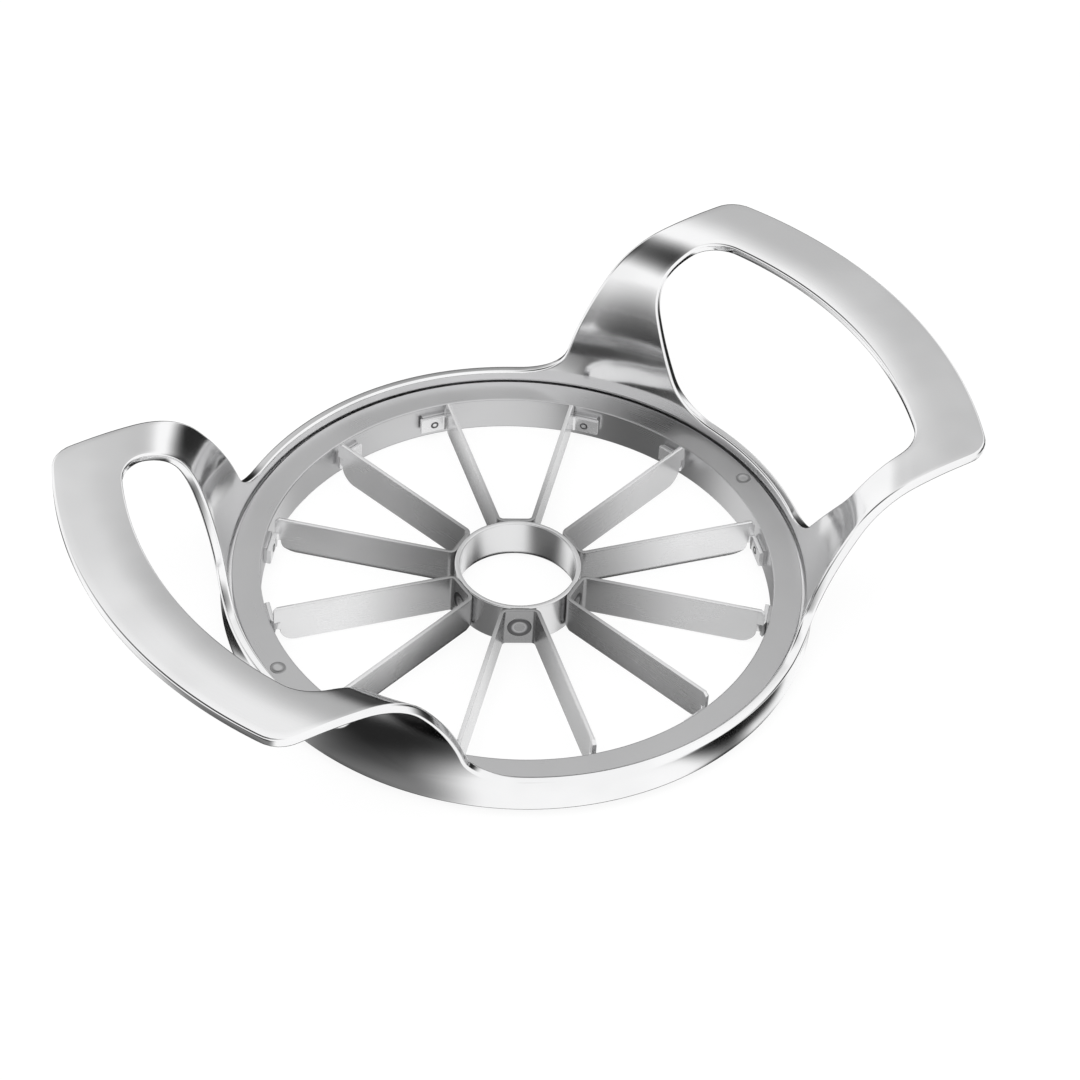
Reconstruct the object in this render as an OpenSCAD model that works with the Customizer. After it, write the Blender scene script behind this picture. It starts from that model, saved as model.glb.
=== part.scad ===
// Apple slicer and corer: a one-piece flared frame with two loop handles,
// a blade ring seated inside it, a core tube and six folded blade strips.
// Units are millimetres. +Z is up, +X runs through both handles.
// The origin is on the slicer's axis, in the plane of the cutting side's lowest edge.

/* [Frame band] */
// Outside radius of the low band round the blades
band_outer_r = 56.1; // [54:0.1:58]
// Wall thickness of the band, the flare and the handles
frame_wall = 1.9; // [1.5:0.1:2.3]
// Height of the band's lower edge above the blade ring's foot
band_low_z = 1.9; // [1.2:0.1:2.6]
// Height of the rim between the handles
rim_z = 9.3; // [8.8:0.1:10.5]
// Radius on the band's lower outside edge
band_edge_r = 0.5; // [0.2:0.1:0.8]
// How far the shelf that carries the blade ring reaches in from the band
shelf_w = 4.2; // [3.6:0.1:4.4]
// Height of the shelf's top face
shelf_top_z = 6.1; // [5.6:0.1:6.5]
// Thickness of the shelf
shelf_thick = 2.2; // [1.5:0.1:3]

/* [Handles] */
// Height of the handles' top face
wing_top_z = 38.1; // [36:0.1:41]
// Distance from the axis to the grips' outer edge
wing_reach = 86; // [83:0.5:90]
// Half the width of a handle, measured across the arms
wing_half_w = 42; // [40:0.5:44]
// Corner radius of a handle, seen from above
wing_corner_r = 6; // [4:0.5:10]
// Radius where an arm runs down into the rim
arm_root_r = 5.5; // [4.5:0.5:7]
// Height at which the band starts to flare out
flare_low_z = 3.47; // [3:0.01:5]
// Radius of the flare's upper, tighter curve
flare_top_r = 13.5; // [12:0.1:15]
// Slope from the vertical at which the two curves meet
flare_meet_a = 30.6; // [28:0.1:33]
// Radius of the shallow crown across the grips
crown_r = 55; // [45:1:70]
// Slope from the vertical at which the crown begins
crown_start_a = 81; // [79:0.1:84]

/* [Hand holes] */
// Width of a grip, from its hand hole to its outer edge
grip_w = 12.5; // [10:0.5:14]
// Width of an arm beside its hand hole, under the grip
arm_w = 8; // [6.5:0.5:10]
// Corner radius of a hand hole under the grip
hole_corner_r = 8; // [5:0.5:11]
// Half the length of a hand hole's straight foot along the rim
hole_foot_half = 11.2; // [9:0.2:13]
// Corner radius of a hand hole at the rim
hole_foot_r = 21.5; // [19:0.5:23]
// Depth under the grips' top at which a hand hole reaches its full width
hole_meet_drop = 8; // [7:0.1:9]

/* [Blade ring] */
// Sheet thickness of the blade ring
ring_sheet = 1.2; // [0.8:0.1:1.2]
// Radius on the blade ring's inner top edge
ring_bend_r = 0.5; // [0.3:0.1:0.7]
// Gap between the blade ring and the band and shelf round it
ring_gap = 0.3; // [0.2:0.05:0.4]
// How far the flat weld lands stand in from the ring's inside
land_depth = 0.6; // [0.5:0.1:0.8]
// Width of a weld land
land_w = 4.8; // [4:0.2:5.2]

/* [Blades] */
// Number of folded strips, each with two blades
strip_count = 6; // [6]
// Sheet thickness of the strips
blade_t = 0.8; // [0.6:0.1:0.9]
// Height of the cutting edges above the ring's foot
blade_low_z = 0.5; // [0.3:0.1:1]
// Height of a blade, from its cutting edge to its top edge
blade_h = 8.4; // [8:0.1:8.7]
// Gap between the end of a blade's full height and the ring's inside
blade_end_gap = 2.2; // [1.9:0.1:3.5]
// Radius of a blade's rounded lower outer corner
blade_corner_r = 4.6; // [3:0.1:5.2]
// Height of the sharpened bevel
bevel_h = 1.6; // [1:0.1:2.2]
// Thickness left at the cutting edge
edge_t = 0.1; // [0.05:0.05:0.2]
// How far a foot's top edge lies below the blades' top edges
foot_drop = 0.8; // [0.5:0.1:1.1]
// Height of the neck between a blade and its foot
neck_h = 1.8; // [1.5:0.1:2.2]
// Height of a foot
foot_h = 3.4; // [3.1:0.1:3.9]
// Length of a foot along the ring
foot_len = 5.5; // [5:0.1:6]
// Distance over which a blade's top edge slopes down to its foot
top_slope_len = 1.8; // [1:0.1:2.5]

/* [Core tube] */
// Outside radius of the core tube
tube_outer_r = 12.0; // [11.8:0.1:12.2]
// Wall thickness of the core tube
tube_wall = 1.0; // [0.9:0.1:1.2]
// How far the core tube stands above the blades' top edges
tube_rise = 0.1; // [0.1:0.1:0.5]
// Depth of the flats that the strips are welded to
flat_depth = 0.2; // [0.15:0.05:0.25]
// Height of the inner bevel at the tube's cutting edge
tube_bevel_h = 1.5; // [1:0.1:2]

/* [Spot welds] */
// Radius of the welds that hold a strip to the core tube
tube_weld_r = 1.95; // [1.6:0.05:1.95]
// Radius of the welds that hold a foot to the blade ring
foot_weld_r = 0.8; // [0.6:0.05:0.8]
// Height of the foot welds' centres above the feet's lower edges
foot_weld_rise = 1.2; // [1:0.1:1.3]
// Radius of the welds that hold the blade ring to the frame's shelf
seat_weld_r = 1.5; // [1.2:0.1:1.6]
// Gap round each weld button
weld_gap = 0.1; // [0.05:0.05:0.15]
// How far a weld button stands proud of its sheet
weld_proud = 0.1; // [0.05:0.05:0.2]
// Depth of the electrode's dimple in a weld button
dimple_depth = 0.12; // [0.05:0.01:0.2]
// Share of a weld button's radius that the dimple's floor takes
dimple_share = 0.35; // [0.2:0.05:0.5]

/* [Hidden] */
// which node to draw
// how far cutters run past what they cut
over = 1;
// rounded corners reach this much past the lines they meet, so that each meets in a clean edge
smooth_lap = 0.02;
// facets on full circles, for viewing: the tube, the frame, the flare's curves, corners and welds
$fn = 96;
frame_fn = 128;
flare_low_fn = 240;
flare_top_fn = 72;
crown_fn = 240;
corner_fn = 64;
weld_fn = 32;
small_fn = 24;

band_inner_r = band_outer_r - frame_wall;
shelf_inner_r = band_inner_r - shelf_w;
crown_h = crown_r * (1 - sin(crown_start_a));
flare_top_h = flare_top_r * (sin(crown_start_a) - sin(flare_meet_a));
// the lower curve takes up the height that the upper one and the crown leave
flare_low_r = (wing_top_z - flare_low_z - flare_top_h - crown_h) / sin(flare_meet_a);
flare_low_x = band_inner_r + flare_low_r;
flare_top_x = flare_low_x - (flare_low_r - flare_top_r) * cos(flare_meet_a);
flare_top_z = flare_low_z + (flare_low_r - flare_top_r) * sin(flare_meet_a);
crown_x = flare_top_x + (crown_r - flare_top_r) * cos(crown_start_a);
crown_z = wing_top_z - crown_r;

wing_corner_y = wing_half_w - wing_corner_r;
wing_corner_x = sqrt(pow(wing_reach - wing_corner_r, 2) - pow(wing_corner_y, 2));
wing_corner_a = atan2(wing_corner_y, wing_corner_x);
// the corner cutter's size, well past the corner
corner_reach = 30;
// height below the grips from which the corners are trimmed
corner_trim_h = 8;

hole_reach = wing_reach - grip_w;
hole_half_w = wing_half_w - arm_w;
hole_corner_y = hole_half_w - hole_corner_r;
hole_corner_x = sqrt(pow(hole_reach - hole_corner_r, 2) - pow(hole_corner_y, 2));
hole_corner_a = atan2(hole_corner_y, hole_corner_x);
// where the hand hole's cutter starts, inside the blade opening
hole_start_x = 30;
// height at which a hole's leaning sides reach its full width
hole_meet_z = wing_top_z - hole_meet_drop;
// from the centre of a foot corner to the top of the leaning side
hole_run_y = hole_half_w - hole_foot_half;
hole_run_z = hole_meet_z - rim_z - hole_foot_r;
// lean of a hole's sides from the vertical, so that they are tangent to the foot corners
hole_side_a = acos(hole_foot_r / norm([hole_run_y, hole_run_z])) - atan2(hole_run_z, hole_run_y);
hole_side_y = hole_foot_half + hole_foot_r * cos(hole_side_a);
hole_side_z = rim_z + hole_foot_r * (1 - sin(hole_side_a));
// the leaning part's cutter stops under the grip
hole_low_end_x = hole_reach;
cut_top_z = wing_top_z + over;

ring_outer_r = band_inner_r - ring_gap;
ring_wall_r = shelf_inner_r - ring_gap;
ring_inner_r = ring_wall_r - ring_sheet;
ring_top_z = shelf_top_z + ring_sheet;
land_dist = ring_inner_r - land_depth;
land_back = ring_inner_r + ring_sheet / 2;
// the shelf welds lie in the middle of the ledge
seat_weld_circle_r = (ring_wall_r + ring_outer_r) / 2;

blade_top_z = blade_low_z + blade_h;
blade_end_r = ring_inner_r - blade_end_gap;
foot_top_z = blade_top_z - foot_drop;
foot_low_z = foot_top_z - foot_h;
neck_low_z = foot_top_z - neck_h;
foot_weld_z = foot_low_z + foot_weld_rise;
land_low_z = foot_low_z;
land_top_z = ring_top_z - ring_bend_r;
tube_bore_r = tube_outer_r - tube_wall;
tube_top_z = blade_top_z + tube_rise;

strip_pitch_a = 360 / strip_count;
bridge_in_x = tube_outer_r - flat_depth;
bridge_out_x = bridge_in_x + blade_t;
bridge_mid_z = (blade_low_z + blade_top_z) / 2;
// each strip has two blades, and all blades are evenly spread
half_pitch_a = strip_pitch_a / 4;
foot_in_dist = land_dist - blade_t;
// angle from a blade to the middle of its foot
foot_a = asin(foot_len / 2 / (land_dist - blade_t / 2));
// a point beside a blade in a strip's own plan: distance along the blade, distance to its side
function by_blade(u, w) = [
    u * cos(half_pitch_a) - w * sin(half_pitch_a),
    u * sin(half_pitch_a) + w * cos(half_pitch_a)
];
// where a foot's face, at a distance from the axis, meets a blade's face, w to the blade's side
function foot_fold(dist, w) = by_blade((dist - w * sin(foot_a)) / cos(foot_a), w);
// the free end of a foot's face
function foot_end(dist) = by_blade(
    dist * cos(foot_a) - foot_len / 2 * sin(foot_a),
    dist * sin(foot_a) + foot_len / 2 * cos(foot_a)
);
fold_out_y = (blade_t / 2 + bridge_in_x * sin(half_pitch_a)) / cos(half_pitch_a);
fold_in_y = (bridge_out_x * sin(half_pitch_a) - blade_t / 2) / cos(half_pitch_a);
// one half of a folded strip's outline, from the bridge's tube side round the foot and back
half_strip = [
    [bridge_in_x, fold_out_y],
    foot_fold(foot_in_dist, blade_t / 2),
    foot_end(foot_in_dist),
    foot_end(land_dist),
    foot_fold(land_dist, -blade_t / 2),
    [bridge_out_x, fold_in_y]
];
// distance along a blade at which its foot's part begins
foot_start_u = foot_in_dist - blade_t / 2;

// ---------- the frame ----------

// a wedge with its tip at a curve's centre, between two slopes and past the curve
module slope_sector(cx, cz, r, from_a, to_a) {
    reach = 2 * r;
    polygon([
        [cx, cz],
        [cx - reach * cos(from_a), cz + reach * sin(from_a)],
        [cx - reach * cos(to_a), cz + reach * sin(to_a)]
    ]);
}

// one curve of the flare as a strip of the frame's wall
module flare_arc(cx, cz, r, from_a, to_a, fn) {
    intersection() {
        difference() {
            translate([cx, cz]) circle(r, $fn = fn);
            translate([cx, cz]) circle(r - frame_wall, $fn = fn);
        }
        slope_sector(cx, cz, r, from_a, to_a);
    }
}

// a disc inside the wall, across the line where one curve meets the next
module curve_key(cx, cz, r, at_a) {
    key_r = r - frame_wall / 2;
    translate([cx - key_r * cos(at_a), cz + key_r * sin(at_a)])
        circle(frame_wall / 4, $fn = small_fn);
}

module band_section() {
    translate([band_inner_r, band_low_z + band_edge_r])
        square([frame_wall, flare_low_z - band_low_z - band_edge_r]);
    translate([band_inner_r, band_low_z])
        square([frame_wall - band_edge_r, band_edge_r]);
    translate([band_outer_r - band_edge_r, band_low_z + band_edge_r])
        circle(band_edge_r, $fn = small_fn);
    translate([shelf_inner_r, shelf_top_z - shelf_thick])
        square([band_inner_r + frame_wall / 2 - shelf_inner_r, shelf_thick]);
}

module wing_section() {
    flare_arc(flare_low_x, flare_low_z, flare_low_r, 0, flare_meet_a, flare_low_fn);
    curve_key(flare_low_x, flare_low_z, flare_low_r, flare_meet_a);
    flare_arc(flare_top_x, flare_top_z, flare_top_r, flare_meet_a, crown_start_a, flare_top_fn);
    curve_key(flare_top_x, flare_top_z, flare_top_r, crown_start_a);
    flare_arc(crown_x, crown_z, crown_r, crown_start_a, 90, crown_fn);
    translate([crown_x, wing_top_z - frame_wall])
        square([wing_reach, frame_wall]);
}

// the wing's curves run past the grips' outer edge and are trimmed there
module frame_section() {
    band_section();
    intersection() {
        wing_section();
        square([wing_reach, cut_top_z]);
    }
}

// what lies beside the arms and above the rim, seen along X
module side_cut_shape() {
    root_y = wing_half_w + arm_root_r;
    root_z = rim_z + arm_root_r;
    cut_w = wing_reach + over - wing_half_w;
    translate([root_y, rim_z])
        square([cut_w - arm_root_r, cut_top_z - rim_z]);
    translate([wing_half_w, root_z])
        square([cut_w, cut_top_z - root_z]);
    translate([root_y, root_z])
        circle(arm_root_r, $fn = corner_fn);
}

module side_cut() {
    translate([-wing_reach - over, 0, 0])
        rotate([90, 0, 90])
            linear_extrude(2 * (wing_reach + over))
                side_cut_shape();
}

module corner_cut() {
    translate([0, 0, wing_top_z - corner_trim_h])
        linear_extrude(corner_trim_h + over)
            difference() {
                polygon([
                    [wing_corner_x, wing_corner_y],
                    [wing_corner_x, wing_corner_y + corner_reach],
                    [wing_corner_x + corner_reach, wing_corner_y + corner_reach],
                    [wing_corner_x + corner_reach,
                        wing_corner_y + corner_reach * tan(wing_corner_a)]
                ]);
                translate([wing_corner_x, wing_corner_y])
                    circle(wing_corner_r, $fn = corner_fn);
            }
}

// the hand hole seen from above
module hole_plan() {
    far_x = hole_reach + over;
    intersection() {
        circle(hole_reach, $fn = frame_fn);
        polygon([
            [0, 0],
            [far_x, -far_x * tan(hole_corner_a)],
            [far_x, far_x * tan(hole_corner_a)]
        ]);
    }
    translate([hole_start_x, -hole_half_w])
        square([hole_corner_x - hole_start_x, 2 * hole_half_w]);
    for (s = [-1, 1])
        translate([hole_corner_x, s * (hole_corner_y - smooth_lap)])
            circle(hole_corner_r + smooth_lap, $fn = corner_fn);
}

// the hand hole's lower part, seen along X
module hole_front() {
    polygon([
        [-hole_foot_half, rim_z],
        [hole_foot_half, rim_z],
        [hole_foot_half, rim_z + hole_foot_r],
        [hole_side_y, hole_side_z],
        [hole_half_w, hole_meet_z],
        [-hole_half_w, hole_meet_z],
        [-hole_side_y, hole_side_z],
        [-hole_foot_half, rim_z + hole_foot_r]
    ]);
    for (s = [-1, 1])
        translate([s * hole_foot_half, rim_z + hole_foot_r + smooth_lap])
            circle(hole_foot_r + smooth_lap, $fn = corner_fn);
}

module hand_hole() {
    translate([0, 0, hole_meet_z])
        linear_extrude(cut_top_z - hole_meet_z)
            hole_plan();
    translate([hole_start_x, 0, 0])
        rotate([90, 0, 90])
            linear_extrude(hole_low_end_x - hole_start_x)
                hole_front();
}

module frame() {
    color([0.80, 0.81, 0.82])
        difference() {
            rotate_extrude($fn = frame_fn)
                frame_section();
            for (ay = [0, 1])
                mirror([0, ay, 0])
                    side_cut();
            for (ax = [0, 1])
                for (ay = [0, 1])
                    mirror([ax, 0, 0])
                        mirror([0, ay, 0])
                            corner_cut();
            for (a = [0, 180])
                rotate([0, 0, a])
                    hand_hole();
        }
}

// ---------- the blade ring ----------

module ring_section() {
    difference() {
        union() {
            translate([ring_inner_r, 0])
                square([ring_sheet, ring_top_z]);
            translate([ring_inner_r, shelf_top_z])
                square([ring_outer_r - ring_inner_r, ring_sheet]);
        }
        translate([ring_inner_r, ring_top_z - ring_bend_r])
            difference() {
                translate([-over, 0])
                    square([ring_bend_r + over, ring_bend_r + over]);
                translate([ring_bend_r, 0])
                    circle(ring_bend_r, $fn = small_fn);
            }
    }
}

// places its children at the middle direction of every foot
module at_feet() {
    for (i = [0 : strip_count - 1])
        for (s = [-1, 1])
            rotate([0, 0, i * strip_pitch_a + s * (half_pitch_a + foot_a)])
                children();
}

module blade_ring() {
    color([0.72, 0.73, 0.75])
        difference() {
            union() {
                rotate_extrude($fn = frame_fn)
                    ring_section();
                at_feet()
                    translate([land_dist, -land_w / 2, land_low_z])
                        cube([land_back - land_dist, land_w, land_top_z - land_low_z]);
            }
            for (a = [0, 180])
                rotate([0, 0, a])
                    translate([seat_weld_circle_r, 0, shelf_top_z - over])
                        cylinder(ring_sheet + 2 * over, r = seat_weld_r + weld_gap,
                            $fn = small_fn);
        }
}

// ---------- the core tube ----------

module core_tube() {
    color([0.74, 0.75, 0.77])
        difference() {
            translate([0, 0, blade_low_z])
                cylinder(tube_top_z - blade_low_z, r = tube_outer_r);
            translate([0, 0, blade_low_z - over])
                cylinder(tube_top_z - blade_low_z + 2 * over, r = tube_bore_r);
            translate([0, 0, blade_low_z])
                cylinder(tube_bevel_h, r1 = bridge_in_x - edge_t, r2 = tube_bore_r);
            for (i = [0 : strip_count - 1])
                rotate([0, 0, i * strip_pitch_a])
                    translate([bridge_in_x, -tube_outer_r / 2, blade_low_z - over])
                        cube([over, tube_outer_r, tube_top_z - blade_low_z + 2 * over]);
        }
}

// ---------- the blade strips ----------

module strip_plan() {
    last = len(half_strip) - 1;
    polygon(concat(
        half_strip,
        [for (i = [last : -1 : 0]) [half_strip[i][0], -half_strip[i][1]]]
    ));
}

// what is cut away under a blade's outer end, seen from its side
module under_neck_shape() {
    corner_u = blade_end_r - blade_corner_r;
    corner_z = blade_low_z + blade_corner_r;
    difference() {
        translate([corner_u, blade_low_z - over])
            square([foot_start_u - corner_u, neck_low_z - blade_low_z + over]);
        translate([corner_u, corner_z])
            circle(blade_corner_r, $fn = corner_fn);
        translate([corner_u - over, corner_z])
            square([blade_corner_r + over, neck_low_z - corner_z + over]);
    }
}

// what is cut away above a blade's outer end and its foot, seen from its side
module over_foot_shape() {
    polygon([
        [foot_start_u - top_slope_len, blade_top_z],
        [foot_start_u, foot_top_z],
        [foot_start_u + land_dist - foot_in_dist + over, foot_top_z],
        [foot_start_u + land_dist - foot_in_dist + over, blade_top_z + over],
        [foot_start_u - top_slope_len, blade_top_z + over]
    ]);
}

// what grinding takes off one side of a sheet: across the sheet, then up
module bevel_shape() {
    polygon([
        [edge_t, blade_low_z - over],
        [edge_t, blade_low_z],
        [blade_t, blade_low_z + bevel_h],
        [blade_t + over, blade_low_z + bevel_h],
        [blade_t + over, blade_low_z - over]
    ]);
}

// the cuts on one blade and its foot, with the blade along +X
module blade_cuts() {
    translate([0, blade_t, 0])
        rotate([90, 0, 0])
            linear_extrude(2 * blade_t)
                under_neck_shape();
    translate([0, foot_len + over, 0])
        rotate([90, 0, 0])
            linear_extrude(foot_len + over + blade_t)
                over_foot_shape();
    translate([foot_start_u, -blade_t, blade_low_z - over])
        cube([
            land_dist - foot_in_dist + over,
            foot_len + over + blade_t,
            foot_low_z - blade_low_z + over
        ]);
    translate([bridge_in_x - blade_t, -blade_t / 2, 0])
        rotate([90, 0, 90])
            linear_extrude(foot_start_u - bridge_in_x)
                bevel_shape();
    rotate([0, 0, foot_a])
        translate([foot_in_dist - over, 0, foot_weld_z])
            rotate([0, 90, 0])
                cylinder(blade_t + 2 * over, r = foot_weld_r + weld_gap, $fn = small_fn);
}

module bridge_cuts() {
    translate([bridge_out_x, -fold_out_y - blade_t, 0])
        mirror([1, 0, 0])
            rotate([90, 0, 0])
                mirror([0, 0, 1])
                    linear_extrude(2 * (fold_out_y + blade_t))
                        bevel_shape();
    translate([bridge_in_x - over, 0, bridge_mid_z])
        rotate([0, 90, 0])
            cylinder(blade_t + 2 * over, r = tube_weld_r + weld_gap, $fn = weld_fn);
}

module folded_strip(i) {
    rotate([0, 0, i * strip_pitch_a])
        difference() {
            translate([0, 0, blade_low_z])
                linear_extrude(blade_top_z - blade_low_z)
                    strip_plan();
            bridge_cuts();
            for (m = [0, 1])
                mirror([0, m, 0])
                    rotate([0, 0, half_pitch_a])
                        blade_cuts();
        }
}

module blade_strip_1() {
    color([0.70, 0.71, 0.73])
        folded_strip(0);
}

module blade_strip_2() {
    color([0.70, 0.71, 0.73])
        folded_strip(1);
}

module blade_strip_3() {
    color([0.70, 0.71, 0.73])
        folded_strip(2);
}

module blade_strip_4() {
    color([0.70, 0.71, 0.73])
        folded_strip(3);
}

module blade_strip_5() {
    color([0.70, 0.71, 0.73])
        folded_strip(4);
}

module blade_strip_6() {
    color([0.70, 0.71, 0.73])
        folded_strip(5);
}

// ---------- the spot welds ----------

// a weld button along +Z: it fills its hole and stands proud, with a dimple in its end
module weld_button(r, sheet, fn) {
    difference() {
        cylinder(sheet + weld_proud, r = r, $fn = fn);
        translate([0, 0, sheet + weld_proud - dimple_depth])
            cylinder(dimple_depth + over, r1 = r * dimple_share,
                r2 = r * dimple_share + dimple_depth + over, $fn = fn);
    }
}

module tube_welds() {
    color([0.62, 0.63, 0.65])
        for (i = [0 : strip_count - 1])
            rotate([0, 0, i * strip_pitch_a])
                translate([bridge_in_x, 0, bridge_mid_z])
                    rotate([0, 90, 0])
                        weld_button(tube_weld_r, blade_t, weld_fn);
}

module foot_welds() {
    color([0.62, 0.63, 0.65])
        at_feet()
            translate([land_dist, 0, foot_weld_z])
                rotate([0, -90, 0])
                    weld_button(foot_weld_r, blade_t, small_fn);
}

module seat_welds() {
    color([0.62, 0.63, 0.65])
        for (a = [0, 180])
            rotate([0, 0, a])
                translate([seat_weld_circle_r, 0, shelf_top_z])
                    weld_button(seat_weld_r, ring_sheet, small_fn);
}

frame();
blade_ring();
core_tube();
blade_strip_1();
blade_strip_2();
blade_strip_3();
blade_strip_4();
blade_strip_5();
blade_strip_6();
tube_welds();
foot_welds();
seat_welds();
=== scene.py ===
# %% [markdown]
# # A stainless steel slicer with two loop handles
# The slicer is a pressed steel frame with two raised handles. A ring with twelve
# blades and a round core cutter sits inside it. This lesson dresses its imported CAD
# model: each piece is modelled again with soft edges, and each finish is built from
# nodes. Everything is in metres, in the CAD's own frame.

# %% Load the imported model
import math

import bpy
from mathutils import Matrix, Vector


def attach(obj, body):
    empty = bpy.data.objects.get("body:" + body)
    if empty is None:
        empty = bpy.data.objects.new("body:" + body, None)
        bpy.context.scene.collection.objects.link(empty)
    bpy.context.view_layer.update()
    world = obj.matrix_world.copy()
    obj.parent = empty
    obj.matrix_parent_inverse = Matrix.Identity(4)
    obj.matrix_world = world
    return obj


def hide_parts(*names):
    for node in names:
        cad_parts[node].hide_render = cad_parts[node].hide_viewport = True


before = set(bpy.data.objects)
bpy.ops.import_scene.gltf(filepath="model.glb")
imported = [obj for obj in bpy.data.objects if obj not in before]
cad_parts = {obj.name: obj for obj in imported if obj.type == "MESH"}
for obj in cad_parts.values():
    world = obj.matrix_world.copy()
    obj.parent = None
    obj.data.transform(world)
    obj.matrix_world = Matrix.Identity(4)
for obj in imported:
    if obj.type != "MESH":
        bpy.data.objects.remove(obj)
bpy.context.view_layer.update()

MM = 0.001
print("CAD nodes:", sorted(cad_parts))

# %% [markdown]
# ## The camera
# The camera looks down at the slicer from its left front corner. Its place was worked
# out from points on the rim, the handles and the blades. A camera looks along its own
# -Z with +Y up, so its turn is a matrix of three directions: right, up and back.

# %% Place the camera
# how far the view is turned, raised and tilted, and the point that it looks at
TURN = math.radians(-34.61)
HEIGHT = math.radians(43.775)
ROLL = math.radians(3.51)
DISTANCE = 712.72 * MM
TARGET = Vector((10.93, 9.03, 2.5)) * MM
LENS = 123.35
SENSOR = 36.0

back = Vector((math.sin(TURN) * math.cos(HEIGHT),
               -math.cos(TURN) * math.cos(HEIGHT), math.sin(HEIGHT)))
level_right = Vector((math.cos(TURN), math.sin(TURN), 0))
level_up = back.cross(level_right)
right = math.cos(ROLL) * level_right + math.sin(ROLL) * level_up
up = math.cos(ROLL) * level_up - math.sin(ROLL) * level_right

camera_data = bpy.data.cameras.new("camera")
camera_data.lens = LENS
camera_data.sensor_width = SENSOR
camera_data.sensor_fit = "HORIZONTAL"
camera_data.clip_start = 0.05
camera_data.clip_end = 20
camera = bpy.data.objects.new("camera", camera_data)
bpy.context.scene.collection.objects.link(camera)
turn = Matrix((right, up, back)).transposed().to_4x4()
camera.matrix_world = Matrix.Translation(TARGET + back * DISTANCE) @ turn
bpy.context.scene.camera = camera
print("camera at", [round(c, 4) for c in camera.matrix_world.translation])

# %% [markdown]
# ## Small helpers: shaping a piece
# Blender's operators act on what is selected. Each piece starts with nothing
# selected, then one primitive is added. Its object stays at the origin, and its place
# is in its mesh. Edges are rounded with a modifier, since even a crisp pressed edge
# catches a thin line of light.

# %% Helpers: start, change and shade a piece
def select_only(obj):
    bpy.ops.object.select_all(action="DESELECT")
    obj.select_set(True)
    bpy.context.view_layer.objects.active = obj


def start(add, name, **settings):
    """Adds one primitive by its operator and gives it a name."""
    bpy.ops.object.select_all(action="DESELECT")
    add(**settings)
    obj = bpy.context.active_object
    obj.name = name
    return obj


def modify(obj, kind, **settings):
    """Adds one modifier and applies it at once."""
    select_only(obj)
    modifier = obj.modifiers.new(kind.title(), kind)
    for key, value in settings.items():
        setattr(modifier, key, value)
    bpy.ops.object.modifier_apply(modifier=modifier.name)
    return obj


def tidy_mesh(obj, gap=0.002 * MM, close=False):
    """Merges doubles, closes the open ends if asked, and turns all faces outwards."""
    select_only(obj)
    bpy.ops.object.mode_set(mode="EDIT")
    bpy.ops.mesh.select_all(action="SELECT")
    bpy.ops.mesh.remove_doubles(threshold=gap)
    if close:
        bpy.ops.mesh.fill_holes(sides=0)
    bpy.ops.mesh.normals_make_consistent(inside=False)
    bpy.ops.object.mode_set(mode="OBJECT")
    return obj


def shade(obj, angle=35):
    """Smooth shading that keeps flat faces flat and sharper edges sharp."""
    select_only(obj)
    bpy.ops.object.shade_smooth_by_angle(angle=math.radians(angle))
    return modify(obj, "WEIGHTED_NORMAL", keep_sharp=True, weight=60)


def soften(obj, width, segments=3, angle=40):
    """Rounds every edge that is sharper than the angle, and shades the rest smooth."""
    modify(obj, "BEVEL", width=width, segments=segments, limit_method="ANGLE",
           angle_limit=math.radians(angle))
    return shade(obj, angle)

# %% [markdown]
# ## Small helpers: finishing a piece
# Parts of one piece are joined, and what repeats is modelled once and copied. A finished piece
# gets its steel and the body that it moves with, and the CAD nodes that it stands for are
# hidden.

# %% Helpers: join, copy and dress a piece
def join(pieces, name):
    bpy.ops.object.select_all(action="DESELECT")
    for piece in pieces:
        piece.select_set(True)
    bpy.context.view_layer.objects.active = pieces[0]
    if len(pieces) > 1:
        bpy.ops.object.join()
    pieces[0].name = name
    return pieces[0]


def copy_of(obj, name, matrix):
    """A copy with its own mesh, set in place through its vertices."""
    select_only(obj)
    bpy.ops.object.duplicate()
    twin = bpy.context.active_object
    twin.name = name
    twin.data.transform(matrix)
    return twin


def paint(obj, material):
    obj.data.materials.clear()
    obj.data.materials.append(material)


def dress(obj, material, slot, *nodes):
    """Gives a finished piece its material and its body, and hides the CAD nodes it stands for.
    """
    paint(obj, material)
    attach(obj, "root")
    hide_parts(*nodes)
    faces = sum(len(p.vertices) - 2 for p in obj.data.polygons)
    print(f"{obj.name}: {faces} triangles, size in mm",
          [round(d / MM, 1) for d in obj.dimensions])

# %% [markdown]
# ## Shader maths
# A pattern is easiest to read as a sum. One small class wraps a socket, so that
# `1 - mask` or `a * 0.3 + b` adds the Math nodes by itself.

# %% A class for sockets
class Value:
    def __init__(self, tree, socket):
        self.tree, self.socket = tree, socket

    def maths(self, operation, *inputs):
        return self.tree.add("ShaderNodeMath", {"operation": operation},
                             {i: v for i, v in enumerate(inputs)})

    def __add__(self, other):
        return self.maths("ADD", self, other)

    def __radd__(self, other):
        return self.maths("ADD", other, self)

    def __sub__(self, other):
        return self.maths("SUBTRACT", self, other)

    def __rsub__(self, other):
        return self.maths("SUBTRACT", other, self)

    def __mul__(self, other):
        return self.maths("MULTIPLY", self, other)

    def __rmul__(self, other):
        return self.maths("MULTIPLY", other, self)

    def __pow__(self, other):
        return self.maths("POWER", self, other)

# %% [markdown]
# ## Node trees
# Every other node comes from one method. It takes the node's type, then its settings,
# such as a ramp's stops, and then the values or links of its sockets. Colours go
# through a Mix node, since a Math node would turn them grey.

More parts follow.
